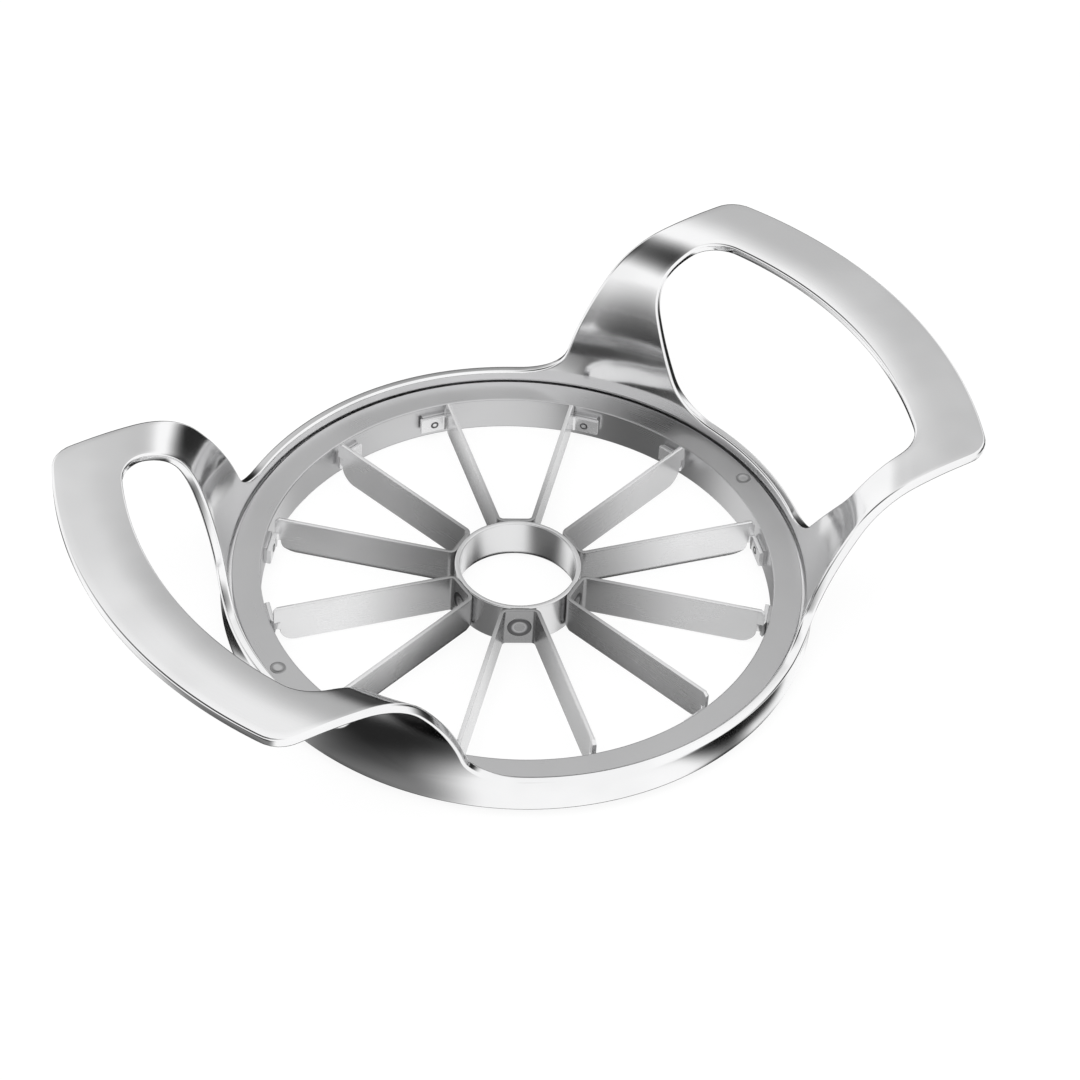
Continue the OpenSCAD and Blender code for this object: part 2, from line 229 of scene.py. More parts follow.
# %% A class for node trees
class Tree:
    """Adds nodes to one node tree: type, then settings, then inputs."""

    def __init__(self, tree):
        self.tree = tree
        tree.nodes.clear()

    def add(self, kind, settings=None, inputs=None, output=0):
        """Adds one node and returns one of its outputs."""
        node = self.tree.nodes.new(kind)
        for key, value in (settings or {}).items():
            if key == "stops":
                self.stops(node.color_ramp, value)
            else:
                setattr(node, key, value)
        for key, value in (inputs or {}).items():
            self.feed(node.inputs[key], value)
        return Value(self, node.outputs[output]) if node.outputs else None

    def feed(self, socket, value):
        if isinstance(value, Value):
            self.tree.links.new(value.socket, socket)
        else:
            socket.default_value = value

    def stops(self, ramp, stops):
        """Sets a ramp's stops, each a place and a grey."""
        while len(ramp.elements) > 1:
            ramp.elements.remove(ramp.elements[-1])
        for i, (place, grey) in enumerate(stops):
            stop = ramp.elements[0] if i == 0 else ramp.elements.new(place)
            stop.position = place
            stop.color = (grey, grey, grey, 1)

    def smooth(self, value, low, high, out_low=0.0, out_high=1.0):
        """Maps low..high to out_low..out_high with soft ends."""
        return self.add("ShaderNodeMapRange", {"interpolation_type": "SMOOTHSTEP"},
                        {"Value": value, "From Min": low, "From Max": high,
                         "To Min": out_low, "To Max": out_high})

    def mix(self, factor, a, b):
        """Mixes two colours."""
        return self.add("ShaderNodeMix", {"data_type": "RGBA"},
                        {"Factor": factor, 6: a, 7: b}, output=2)

# %% [markdown]
# ## The studio
# Polished steel has hardly any colour of its own: it shows the room. Such pieces are
# photographed in a white tent with black cards in it, and the cards draw the dark
# bands that make the steel read as steel. The tent is the world here. Each card is a
# soft dark patch at a direction, with the angle of its middle and of its soft edge.
# Only mirror rays see the cards. The camera sees plain white.

# %% Light the tent and hang the cards
def direction(turn, height):
    turn, height = math.radians(turn), math.radians(height)
    return (math.cos(height) * math.cos(turn), math.cos(height) * math.sin(turn),
            math.sin(height))


# turn, height, inner and outer half-angle in degrees, how much light the card keeps away
CARDS = [
    ("behind, low", 62, -23, 14, 33, 0.98),
    ("overhead, left", 146, 58, 3.5, 41, 0.98),
    ("front, below", -27, -53, 1, 12.5, 0.98),
    ("left, low", 181, -33, 21, 39, 0.78),
    ("left, under the slicer", 150, -71, 2.5, 31.5, 0.98),
    ("front left", -160, -11, 1, 35, 0.93),
    ("behind, level", 61, 7, 2.5, 28, 0.98),
    ("right, low", -6, -9, 16, 38.5, 0.98),
    ("narrow strip behind", 83, -53, 8.5, 14, 0.98),
    ("behind, high", 46, 32, 5, 22, 0.45),
    ("behind left, high", 70, 32, 2, 18, 0.35),
    ("right, under the slicer", 0, -73, 24, 27, 0.98),
]

world = bpy.data.worlds.new("studio_tent")
bpy.context.scene.world = world
world.use_nodes = True
tent = Tree(world.node_tree)
looking = tent.add("ShaderNodeTexCoord")
light = None
for name, turn_to, height_to, inner, outer, kept in CARDS:
    near = tent.add("ShaderNodeVectorMath", {"operation": "DOT_PRODUCT"},
                    {0: looking, 1: direction(turn_to, height_to)}, output=1)
    near.socket.node.label = name
    patch = tent.smooth(near, math.cos(math.radians(outer)),
                        math.cos(math.radians(inner)), 1.0, 1.0 - kept)
    light = patch if light is None else light * patch
path = tent.add("ShaderNodeLightPath")
rays = path.socket.node.outputs
glossy = Value(tent, rays["Is Glossy Ray"])
seen = Value(tent, rays["Is Camera Ray"])
mirrored = glossy * light + (1.0 - glossy)
tent_level = seen + (1.0 - seen) * mirrored
background = tent.add("ShaderNodeBackground", None,
                      {"Color": (1, 1, 1, 1), "Strength": tent_level})
tent.add("ShaderNodeOutputWorld", None, {"Surface": background})
print("cards in the tent:", len(CARDS))

# %% [markdown]
# ## The floor
# The slicer lies on a plain white table. The floor is nearly white for the camera
# through a share of its own light, and the rest of it keeps the slicer's soft shadow.

# %% Lay the floor
FLOOR_SIZE = 6.0
FLOOR_GREY = 0.86
# how much of the floor's own light the camera sees, and how strong that light is
GLOW_SHARE = 0.86
GLOW_STRENGTH = 1.03

floor = start(bpy.ops.mesh.primitive_plane_add, "floor", size=FLOOR_SIZE)
floor_material = bpy.data.materials.new("white_table")
floor_material.use_nodes = True
table = Tree(floor_material.node_tree)
table_path = table.add("ShaderNodeLightPath")
table_seen = Value(table, table_path.socket.node.outputs["Is Camera Ray"])
plain = table.add("ShaderNodeBsdfDiffuse", None,
                  {"Color": (FLOOR_GREY, FLOOR_GREY, FLOOR_GREY, 1)})
glow = table.add("ShaderNodeEmission", None,
                 {"Color": (1, 1, 1, 1), "Strength": GLOW_STRENGTH})
both = table.add("ShaderNodeMixShader", None,
                 {0: table_seen * GLOW_SHARE, 1: plain, 2: glow})
table.add("ShaderNodeOutputMaterial", None, {"Surface": both})
paint(floor, floor_material)
floor.visible_glossy = False
print("floor:", FLOOR_SIZE, "m wide")

# %% [markdown]
# ## One soft lamp
# A large lamp above gives the blades their soft shading and the table its shadow.

# %% Hang the lamp
LAMP_WATTS = 4.0
LAMP_SIZE = 0.7
LAMP_AT = Vector((-0.35, -0.25, 0.9))

lamp_data = bpy.data.lights.new("soft_lamp", "AREA")
lamp_data.shape = "SQUARE"
lamp_data.size = LAMP_SIZE
lamp_data.energy = LAMP_WATTS
lamp = bpy.data.objects.new("soft_lamp", lamp_data)
bpy.context.scene.collection.objects.link(lamp)
lamp.location = LAMP_AT
lamp.rotation_euler = (-LAMP_AT).to_track_quat("-Z", "Y").to_euler()
lamp.visible_glossy = False
bpy.context.scene.view_settings.view_transform = "Standard"
print("lamp:", LAMP_WATTS, "W at", list(LAMP_AT))

# %% [markdown]
# ## Steel: the grain
# Brushing leaves fine lines along one direction. They are a noise that is stretched
# along the grain: round the axis on turned pieces, and along the sheet on the blades,
# where a UV map in metres says how far along and how high a point lies. Each helper
# gives the noise's coordinates.

# %% Helpers: where the grain runs
# how fast the noise changes round the axis, for each radian
GRAIN_PER_TURN = 1.5
# how fast it changes along a sheet, as a share of the change across
STRETCH = 0.02


def split(nodes, vector):
    """The three parts of a vector."""
    parts = nodes.add("ShaderNodeSeparateXYZ", None, {0: vector})
    return [Value(nodes, output) for output in parts.socket.node.outputs]


def grain_round(nodes, scale):
    """Grain that runs round the axis, as a lathe leaves it."""
    x, y, z = split(nodes, nodes.add("ShaderNodeTexCoord", output=3))
    distance = (x * x + y * y) ** 0.5
    around = nodes.add("ShaderNodeMath", {"operation": "ARCTAN2"}, {0: y, 1: x})
    return nodes.add("ShaderNodeCombineXYZ", None,
                     {0: distance * scale, 1: z * scale, 2: around * GRAIN_PER_TURN})


def grain_along(nodes, scale):
    """Grain that runs along the length of a UV map."""
    length = nodes.add("ShaderNodeTexCoord", output=2)
    return nodes.add("ShaderNodeMapping", None,
                     {"Vector": length, "Scale": (scale * STRETCH, scale, 1)})

# %% [markdown]
# ## Steel: painted shade near the axis and round the welds
# The blades crowd together near the axis and shade each other. That shade is painted into the
# blade steel's colour, which grows darker towards the axis. Round a spot weld's dimple a dark
# ring of painted shade stands for the dark line of a gap round the nugget, which the model has
# no gap for. A weld's UV map holds each point's share of the weld's radius, which a ramp turns
# into that ring.

# %% Helpers: paint shade near the axis and a ring of shade round the welds
# the place of the painted ring of shade as shares of the weld's radius, and how strong it is
# there
WELD_SHADE_STOPS = [(0.0, 0.0), (0.55, 0.0), (0.7, 1.0), (0.92, 1.0), (1.0, 0.4)]


def darker(colour, share):
    return tuple(c * share for c in colour) + (1,)


def paint_axis_shade(nodes, here, base, colour, near, far, share):
    """Painted shade: steel nearer to the axis than near, in mm, keeps this share of its colour.
    """
    distance = nodes.add("ShaderNodeVectorMath", {"operation": "LENGTH"}, {0: here}, output=1)
    lit = nodes.smooth(distance, near * MM, far * MM)
    return nodes.mix(lit, darker(colour, share), base)


def paint_weld_shade(nodes, base, colour, share):
    """Paints a ring of shade round a weld; the ring keeps this share of the steel's colour."""
    radius = split(nodes, nodes.add("ShaderNodeTexCoord", output=2))[0]
    ring_shade_mask = nodes.add("ShaderNodeValToRGB", {"stops": WELD_SHADE_STOPS}, {0: radius})
    return nodes.mix(ring_shade_mask, base, darker(colour, share))

# %% [markdown]
# ## Steel: the finishes
# All pieces are bare stainless steel and differ in polish. The frame is buffed to a
# near mirror. The ring, the tube and the blades keep the satin of brushed sheet. A
# large soft noise gives the slight unevenness of handled steel, in colour and in
# polish, and the grain moves the polish and the surface a little.

# %% One function for every steel
# the soft noise, and the share of the colour that its dull side keeps
CLOUD_SCALE = 60.0
CLOUD_SHARE = 0.93
BUMP_HEIGHT = 0.02 * MM


def steel(name, colour, roughness, uneven, grain_scale, grain_depth, grain=grain_round,
          grain_rough=0.05, painted_axis_shade=None, painted_weld_shade=None, metallic=1.0):
    """Bare steel; uneven and grain_rough say how far the polish strays.

    The painted shade near the axis takes (near, far, share); the painted ring of shade round a
    weld takes a share.
    """
    material = bpy.data.materials.new(name)
    material.use_nodes = True
    nodes = Tree(material.node_tree)
    here = nodes.add("ShaderNodeTexCoord", output=3)
    lines = nodes.add("ShaderNodeTexNoise", None,
                      {"Vector": grain(nodes, grain_scale), "Scale": 1.0, "Detail": 3.0})
    cloud = nodes.add("ShaderNodeTexNoise", None,
                      {"Vector": here, "Scale": CLOUD_SCALE, "Detail": 2.0})
    tone = nodes.smooth(cloud, 0.3, 0.7)
    base = nodes.mix(tone, darker(colour, CLOUD_SHARE), colour + (1,))
    # painted shade: the steel grows darker towards the axis
    if painted_axis_shade:
        base = paint_axis_shade(nodes, here, base, colour, *painted_axis_shade)
    # painted shade: a dark ring round each weld's dimple
    if painted_weld_shade:
        base = paint_weld_shade(nodes, base, colour, painted_weld_shade)
    rough = roughness + (tone - 0.5) * uneven + (lines - 0.5) * grain_rough
    bump = nodes.add("ShaderNodeBump", None,
                     {"Height": lines, "Strength": grain_depth, "Distance": BUMP_HEIGHT})
    shader = nodes.add("ShaderNodeBsdfPrincipled", None,
                       {"Base Color": base, "Metallic": metallic, "Roughness": rough,
                        "Normal": bump})
    nodes.add("ShaderNodeOutputMaterial", None, {"Surface": shader})
    return material

# %% [markdown]
# ## Steel: one finish for each kind of piece
# The steels are plain greys, from nearly white on the buffed frame to darker on the
# satin pieces and on the welds, whose rougher skin sends less light back. The CAD nodes
# get the same materials as the pieces that will stand for them.

# %% Make the six steels and give them to the CAD nodes
polished = steel("polished_steel", (0.95, 0.95, 0.955), 0.11, 0.03, 2500, 0.06,
                 grain_rough=0.02)
satin = steel("satin_steel", (0.62, 0.62, 0.625), 0.30, 0.06, 6000, 0.12)
tube_steel = steel("tube_steel", (0.80, 0.80, 0.805), 0.24, 0.05, 6000, 0.12)
# the blade steel gets painted shade towards the axis
brushed = steel("brushed_blade_steel", (0.84, 0.84, 0.845), 0.26, 0.05, 12000, 0.05,
                grain=grain_along, painted_axis_shade=(12, 36, 0.36), metallic=0.8)
# both weld steels get a painted ring of shade round the dimple
nugget = steel("weld_steel", (0.42, 0.42, 0.425), 0.34, 0.08, 1500, 0.2, painted_weld_shade=0.25)
ledge_nugget = steel("ledge_weld_steel", (0.55, 0.55, 0.555), 0.32, 0.08, 1500, 0.2,
                     painted_weld_shade=0.6)

STRIPS = 6
finishes = {"frame": polished, "blade_ring": satin, "core_tube": tube_steel,
            "tube_welds": nugget, "foot_welds": nugget, "seat_welds": ledge_nugget}
for i in range(STRIPS):
    finishes[f"blade_strip_{i + 1}"] = brushed
for node_name, finish in finishes.items():
    paint(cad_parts[node_name], finish)
print("CAD nodes with a finish:", len(finishes))

# %% [markdown]
# ## The pressed frame: its wall
# The frame starts as a flat ring of sheet steel. A press draws it up into a low band
# that flares outwards into the handles. Cutting such a curved wall with a boolean
# would leave slivers along the cut, and polished steel shows each of them. So the
# wall is described as a path first: how far out and how high its middle lies, after a
# given length from the lower edge. A sheet laid on that wall by turn and length keeps
# clean rows along every edge.

# %% The path of the wall
WALL = 1.9
BAND_R = 56.1
BAND_LOW = 1.9
RIM = 9.3
FLARE_LOW = 3.47
REACH = 86.0
TOP = 38.1
TIGHT_R = 13.5
CROWN_R = 55
# the slopes in degrees at which the curves of the inner face meet
MEET = 30.6
CROWN_FROM = 81


def rise(radius, first, last):
    """How far a curve climbs from its first slope to its last, in degrees."""
    return radius * (math.sin(math.radians(last)) - math.sin(math.radians(first)))


left_to_climb = TOP - FLARE_LOW - rise(TIGHT_R, MEET, CROWN_FROM) - rise(CROWN_R, CROWN_FROM, 90)
long_r = left_to_climb / rise(1, 0, MEET)
# each curve's radius, first slope and last slope
CURVES = [(long_r, 0, MEET), (TIGHT_R, MEET, CROWN_FROM), (CROWN_R, CROWN_FROM, 90)]

arcs = []
curve_run = FLARE_LOW - BAND_LOW
curve_out, curve_high = BAND_R - WALL / 2, FLARE_LOW
for face_radius, first_slope, last_slope in CURVES:
    radius = face_radius - WALL / 2
    first, last = math.radians(first_slope), math.radians(last_slope)
    centre_out = curve_out + radius * math.cos(first)
    centre_high = curve_high - radius * math.sin(first)
    arcs.append((curve_run, radius, first, centre_out, centre_high))
    curve_out = centre_out - radius * math.cos(last)
    curve_high = centre_high + radius * math.sin(last)
    curve_run += radius * (last - first)
wall_length = curve_run + REACH - curve_out
print("the wall is", round(wall_length, 2), "mm long, with curves of radius",
      [round(radius, 2) for _, radius, *_ in arcs])

# %% [markdown]
# ## The pressed frame: walking along the wall
# The rest of the frame asks two questions of the wall: where is it after a given
# length, and at which length does it first reach a place. The second has no short
# formula, so it is found by halving.

# %% Helpers: places and lengths on the wall
def wall(run):
    """How far out and how high the wall's middle is, at this length from its lower edge."""
    if run >= curve_run:
        return curve_out + run - curve_run, curve_high
    for arc_run, radius, first, centre_out, centre_high in reversed(arcs):
        if run >= arc_run:
            lean = first + (run - arc_run) / radius
            return (centre_out - radius * math.cos(lean),
                    centre_high + radius * math.sin(lean))
    return BAND_R - WALL / 2, BAND_LOW + run


def run_where(test):
    """The first length along the wall at which the test on (out, high) holds."""
    low, high = 0.0, wall_length
    for _ in range(50):
        middle = (low + high) / 2
        if test(*wall(middle)):
            high = middle
        else:
            low = middle
    return high


print("the wall ends at", [round(c, 2) for c in wall(wall_length)], "mm out and high")

# %% [markdown]
# ## The pressed frame: its edges
# Two edges bound a quarter of the sheet. The outer edge follows the rim, runs up the
# arm and round the handle's corner. The inner one is the hand hole. Both are written
# as points, each a turn about the axis and a length along the wall, and then spread
# evenly, so that the rows of the mesh follow them.

# %% Helpers: points of an edge
def at_height(across, height):
    """A point of the steep wall, by its distance from the middle plane and its height."""
    run = run_where(lambda out, high: high >= height)
    return math.asin(min(1.0, across / wall(run)[0])), run


def seen_from_above(along, across):
    """A point of the flat grip, by its place in plan; ROUNDING keeps it on the wall."""
    out = math.hypot(along, across)
    return math.atan2(across, along), run_where(lambda o, high: o >= out - ROUNDING)


def beside_arm(across, run):
    """A point of an arm's straight side, by its length along the wall."""
    return math.asin(across / wall(run)[0]), run


def steps(first, last, count):
    """Evenly spaced numbers, both ends included."""
    return [first + (last - first) * i / count for i in range(count + 1)]


ROUNDING = 1e-9
rim_run = at_height(0, RIM)[1]
print("the rim is", round(rim_run, 2), "mm up the wall")

# %% [markdown]
# ## The pressed frame: the hand hole
# The hand hole is a D. Its foot lies along the rim, its sides lean outwards and bend
# softly into the arms, and its far side follows the grip. Each stretch is an arc, a
# straight line or a short blend, and starts where the one before it ends.

# %% Trace the hand hole
HOLE_REACH = 73.5
HALF_HOLE = 34.0
HOLE_CORNER = 8.0
FOOT_HALF = 13.6
FOOT_CORNER = 12.5
HOLE_LEAN = math.radians(33)
HOLE_SOFT = 5.0
# how many points each stretch of an edge gets
FINE = 24

# the foot, from its middle
hole_edge = [at_height(y, RIM) for y in steps(0, FOOT_HALF, FINE)]

# its corner
hole_foot_z = RIM + FOOT_CORNER
hole_edge += [at_height(FOOT_HALF + FOOT_CORNER * math.cos(a),
                        hole_foot_z + FOOT_CORNER * math.sin(a))
              for a in steps(-math.pi / 2, -HOLE_LEAN, FINE)[1:]]
# here the foot ends, and the arm begins
turn_hole = len(hole_edge) - 1

# the leaning side, then a blend into the upright one
side_y = FOOT_HALF + FOOT_CORNER * math.cos(HOLE_LEAN)
side_z = hole_foot_z - FOOT_CORNER * math.sin(HOLE_LEAN)
full_z = side_z + (HALF_HOLE - side_y) / math.tan(HOLE_LEAN)
soft_y = HALF_HOLE - HOLE_SOFT * math.sin(HOLE_LEAN)
soft_z = full_z - HOLE_SOFT * math.cos(HOLE_LEAN)
hole_edge += [at_height(side_y + (soft_y - side_y) * t, side_z + (soft_z - side_z) * t)
              for t in steps(0, 1, FINE)[1:]]
hole_edge += [at_height(soft_y * (1 - t) ** 2 + HALF_HOLE * (2 - t) * t,
                        soft_z * (1 - t) ** 2 + 2 * full_z * t * (1 - t)
                        + (full_z + HOLE_SOFT) * t ** 2)
              for t in steps(0, 1, FINE // 3)[1:]]

# along the arm, round the corner and along the grip
hole_in = HOLE_REACH - HOLE_CORNER
hole_corner_x = math.sqrt(hole_in ** 2 - (HALF_HOLE - HOLE_CORNER) ** 2)
hole_turn = math.atan2(HALF_HOLE - HOLE_CORNER, hole_corner_x)
corner_run = seen_from_above(hole_corner_x, HALF_HOLE)[1]
hole_edge += [beside_arm(HALF_HOLE, run)
              for run in steps(hole_edge[-1][1], corner_run, FINE)[1:]]
hole_edge += [seen_from_above(hole_corner_x + HOLE_CORNER * math.cos(a),
                              HALF_HOLE - HOLE_CORNER + HOLE_CORNER * math.sin(a))
              for a in steps(math.pi / 2, hole_turn, FINE)[1:]]
grip_run = run_where(lambda out, high: out >= HOLE_REACH)
hole_edge += [(a, grip_run) for a in steps(hole_turn, 0, FINE)[1:]]
print("points round half a hand hole:", len(hole_edge))

# %% [markdown]
# ## The pressed frame: the outline
# The outer edge starts at the rim between the handles. It bends up into the arm,
# follows it to the handle's corner, and ends at the middle of the grip.

# %% Trace the outline
HALF_HANDLE = 42.0
CORNER = 6.0
ROOT = 5.5

arm_turn = at_height(HALF_HANDLE + ROOT, RIM)[0]
outline = [(a, rim_run) for a in steps(math.pi / 2, arm_turn, FINE)]
outline += [at_height(HALF_HANDLE + ROOT * (1 - math.sin(a)), RIM + ROOT * (1 - math.cos(a)))
            for a in steps(0, math.pi / 2, FINE)[1:]]
# here, halfway round the arm's root, the rim ends and the arm begins
turn_outline = FINE + FINE // 2

corner_in = REACH - CORNER
corner_x = math.sqrt(corner_in ** 2 - (HALF_HANDLE - CORNER) ** 2)
corner_turn = math.atan2(HALF_HANDLE - CORNER, corner_x)
arm_top_run = seen_from_above(corner_x, HALF_HANDLE)[1]
outline += [beside_arm(HALF_HANDLE, run)
            for run in steps(outline[-1][1], arm_top_run, FINE)[1:]]
outline += [seen_from_above(corner_x + CORNER * math.cos(a),
                            HALF_HANDLE - CORNER + CORNER * math.sin(a))
            for a in steps(math.pi / 2, corner_turn, FINE)[1:]]
outline += [(a, wall_length) for a in steps(corner_turn, 0, FINE)[1:]]
print("points on a quarter of the outline:", len(outline))

# %% [markdown]
# ## The pressed frame: rows on the wall
# A row of the mesh is a line of points on the wall. Its points are spread evenly, so
# that the faces between two rows are all about as long, and polished steel shows no
# ripple. A grid primitive is then laid on the rows, vertex by vertex.

# %% Helpers: lay points and grids on the wall
def lie(turn, run):
    """The place of a point of the wall, in metres."""
    out, high = wall(run)
    return Vector((out * math.cos(turn), out * math.sin(turn), high)) * MM


def spread(points, count):
    """The same line with evenly spaced points."""
    places = [lie(*p) for p in points]
    lengths = [0.0]
    for a, b in zip(places, places[1:]):
        lengths.append(lengths[-1] + (b - a).length)
    result, k = [], 0
    for i in range(count + 1):
        goal = lengths[-1] * i / count
        while k < len(points) - 2 and lengths[k + 1] < goal:
            k += 1
        share = (goal - lengths[k]) / max(lengths[k + 1] - lengths[k], 1e-12)
        share = min(1.0, max(0.0, share))
        result.append(tuple(a + (b - a) * share for a, b in zip(points[k], points[k + 1])))
    return result


def lay_grid(name, columns, rows, place):
    """Adds a grid primitive and lays its vertices where place(column, row) says."""
    grid = start(bpy.ops.mesh.primitive_grid_add, name, x_subdivisions=columns,
                 y_subdivisions=rows, size=2)
    for vertex in grid.data.vertices:
        column = round((vertex.co.x + 1) / 2 * columns)
        row = round((vertex.co.y + 1) / 2 * rows)
        vertex.co = place(column, row)
    return grid


def between(a, b, share):
    return tuple(p + (q - p) * share for p, q in zip(a, b))


def ease(t):
    """Runs from 0 to 1 with soft ends."""
    return t * t * (3 - 2 * t)

# %% [markdown]
# ## The pressed frame: where the rows part
# Three bundles of rows meet where an arm leaves the band: one runs along the band's
# foot, one round the hand hole, one along the outline. The lines that part them run
# from the middle of each bundle to one shared point, the junction.

# %% Draw the lines that part the rows
FOOT_COLUMNS = 30
RIM_COLUMNS = 36
ARM_COLUMNS = 76
# how far across and how high the junction lies
JUNCTION = at_height(33.5, 7.6)
# the share of an arm over which its line bends away from the junction
ARM_BEND = 0.12

hole_foot = spread(hole_edge[:turn_hole + 1], FOOT_COLUMNS)
hole_arm = spread(hole_edge[turn_hole:], ARM_COLUMNS)
rim_part = spread(outline[:turn_outline + 1], RIM_COLUMNS)
outline_arm = spread(outline[turn_outline:], ARM_COLUMNS)
low_foot = [(t, 0.0) for t in steps(0, JUNCTION[0], FOOT_COLUMNS)]
low_rim = [(t, 0.0) for t in steps(math.pi / 2, JUNCTION[0], RIM_COLUMNS)]


def parting(upper, lower):
    """The line between an edge and the band's foot, from its middle to the junction."""
    points = []
    for i, (high, low) in enumerate(zip(upper, lower)):
        t = i / (len(lower) - 1)
        turn_to = low[0] + (between(low, high, 0.5)[0] - low[0]) * (1 - t)
        points.append((turn_to, rim_run / 2 + (JUNCTION[1] - rim_run / 2) * ease(t)))
    return points


foot_line = parting(hole_foot, low_foot)
rim_line = parting(rim_part, low_rim)
arm_line = []
for i, (a, b) in enumerate(zip(hole_arm, outline_arm)):
    bend = ease(min(1.0, i / (ARM_COLUMNS * ARM_BEND)))
    arm_line.append(between(JUNCTION, between(a, b, 0.5), bend))
print("junction of the rows in mm:", [round(c / MM, 1) for c in lie(*JUNCTION)])

# %% [markdown]
# ## The pressed frame: its sheet
# Each bundle is a grid laid between an edge and a parting line. The quarter is then
# mirrored twice and given its thickness with Solidify, and its edges are rounded with
# Bevel, as the press and the buffing wheel leave them.

# %% Lay the bundles and thicken the sheet
# where a bundle's rows lie, from its edge to its parting line
ROWS = [0.0, 0.30, 0.54, 0.78, 1.0]
EDGE_ROUND = 0.5
SEAM = 0.005 * MM


def bundle(name, edge, line):
    """A grid between an edge and the line that parts it from its neighbour."""
    def place(column, row):
        return lie(*between(edge[column], line[column], ROWS[row]))
    return lay_grid(name, len(edge) - 1, len(ROWS) - 1, place)


bundles = [
    bundle("foot_rows", low_foot + low_rim[::-1][1:], foot_line + rim_line[::-1][1:]),
    bundle("hole_rows", hole_foot + hole_arm[1:], foot_line + arm_line[1:]),
    bundle("outline_rows", rim_part + outline_arm[1:], rim_line + arm_line[1:]),
]
pressed = join(bundles, "pressed_frame")
tidy_mesh(pressed, SEAM)
modify(pressed, "MIRROR", use_axis=(True, True, False), merge_threshold=2 * SEAM)
tidy_mesh(pressed, SEAM)
modify(pressed, "SOLIDIFY", thickness=WALL * MM, offset=0, use_even_offset=True)
soften(pressed, EDGE_ROUND * MM, segments=4, angle=50)
print("vertices of the pressed sheet:", len(pressed.data.vertices))

# %% [markdown]
# ## Turned sections
# The ring, the tube and the weld buttons are all round. Each is drawn as a closed
# section with rounded corners and spun once about the axis, as a lathe would cut it.

# %% Helpers: rounded sections, spun round the axis
def rounded(corners, segments=5):
    """A closed outline with an arc at each corner; a corner is (out, high, radius)."""
    outline_points = []
    for i, (out, high, radius) in enumerate(corners):
        here = Vector((out, high))
        before = (Vector(corners[i - 1][:2]) - here).normalized()
        after = (Vector(corners[(i + 1) % len(corners)][:2]) - here).normalized()
        half = before.angle(after) / 2
        if radius == 0:
            outline_points.append(tuple(here))
            continue
        centre = here + (before + after).normalized() * radius / math.sin(half)
        first = here + before * radius / math.tan(half) - centre
        last = here + after * radius / math.tan(half) - centre
        for k in range(segments + 1):
            step = first.lerp(last, k / segments).normalized() * radius
            outline_points.append(tuple(centre + step))
    return outline_points


def lathe(name, section, steps_round=256):
    """Spins a closed section once about Z."""
    obj = start(bpy.ops.mesh.primitive_circle_add, name, vertices=len(section),
                radius=MM, fill_type="NOTHING")
    for vertex, (out, high) in zip(obj.data.vertices, section):
        vertex.co = Vector((out, 0, high)) * MM
    bpy.ops.object.mode_set(mode="EDIT")
    bpy.ops.mesh.select_all(action="SELECT")
    bpy.ops.mesh.spin(steps=steps_round, angle=2 * math.pi, center=(0, 0, 0),
                      axis=(0, 0, 1))
    bpy.ops.object.mode_set(mode="OBJECT")
    return tidy_mesh(obj)

# %% [markdown]
# ## The frame's shelf
# A flat shelf runs round the inside of the band and carries the blade ring. On the
# real frame it is most likely a ring welded in from below. It is spun here, reaches a
# little into the band's wall, and becomes part of the frame.

# %% Spin the shelf and give the frame its steel
SHELF_LOW = 3.9
SHELF_TOP = 6.1
SHELF_IN = 50.0
SHELF_ROUND = 0.4

mid_wall = BAND_R - WALL / 2
shelf = lathe("shelf", rounded([
    (SHELF_IN, SHELF_LOW, SHELF_ROUND), (mid_wall, SHELF_LOW, 0),
    (mid_wall, SHELF_TOP, 0), (SHELF_IN, SHELF_TOP, SHELF_ROUND),
]))
shade(shelf)
pressed = join([pressed, shelf], "pressed_frame")
dress(pressed, polished, "polished_frame", "frame")

# %% [markdown]
# ## The blade ring
# The blade ring is an angle ring of thin sheet: a wall that the blades' feet are
# welded to, and a ledge that lies on the shelf. Where a foot sits, the wall is pressed
# flat. Those twelve flats are one small pad, copied round.

# %% Spin the ring and copy its pads
RING_IN = 48.5
RING_WALL = 49.7
RING_OUT = 53.9
RING_TOP = 7.3
RING_ROUND = 0.3
LEDGE_ROUND = 0.25
PAD_FACE = 47.9
PAD_BACK = 49.1
PAD_W = 4.8
PAD_LOW = 1.6
PAD_TOP = 5.7
PAD_ROUND = 0.2
SHEET = 0.8
FOOT_LEN = 5.5
PITCH = 2 * math.pi / STRIPS
# from the middle of a strip to each of its blades
BLADE_TURN = PITCH / 4

# a foot lies square to its own direction, which is turned a little from its blade's
foot_middle = PAD_FACE - SHEET / 2
foot_turn = math.asin(FOOT_LEN / 2 / foot_middle)
feet = [i * PITCH + side * (BLADE_TURN + foot_turn) for i in range(STRIPS)
        for side in (-1, 1)]

ring = lathe("ring", rounded([
    (RING_IN, 0, RING_ROUND), (RING_WALL, 0, RING_ROUND),
    (RING_WALL, SHELF_TOP, LEDGE_ROUND), (RING_OUT, SHELF_TOP, LEDGE_ROUND),
    (RING_OUT, RING_TOP, LEDGE_ROUND), (RING_IN, RING_TOP, RING_ROUND),
]))
shade(ring)
pad = start(bpy.ops.mesh.primitive_cube_add, "pad", size=1)
pad_size = Vector((PAD_BACK - PAD_FACE, PAD_W, PAD_TOP - PAD_LOW)) * MM
pad_middle = Vector((PAD_FACE + PAD_BACK, 0, PAD_LOW + PAD_TOP)) * MM / 2
pad.data.transform(Matrix.Translation(pad_middle) @ Matrix.Diagonal((*pad_size, 1)))
soften(pad, PAD_ROUND * MM)
pads = [copy_of(pad, "pad", Matrix.Rotation(a, 4, "Z")) for a in feet]
bpy.data.objects.remove(pad)
ring = join([ring] + pads, "angle_ring")
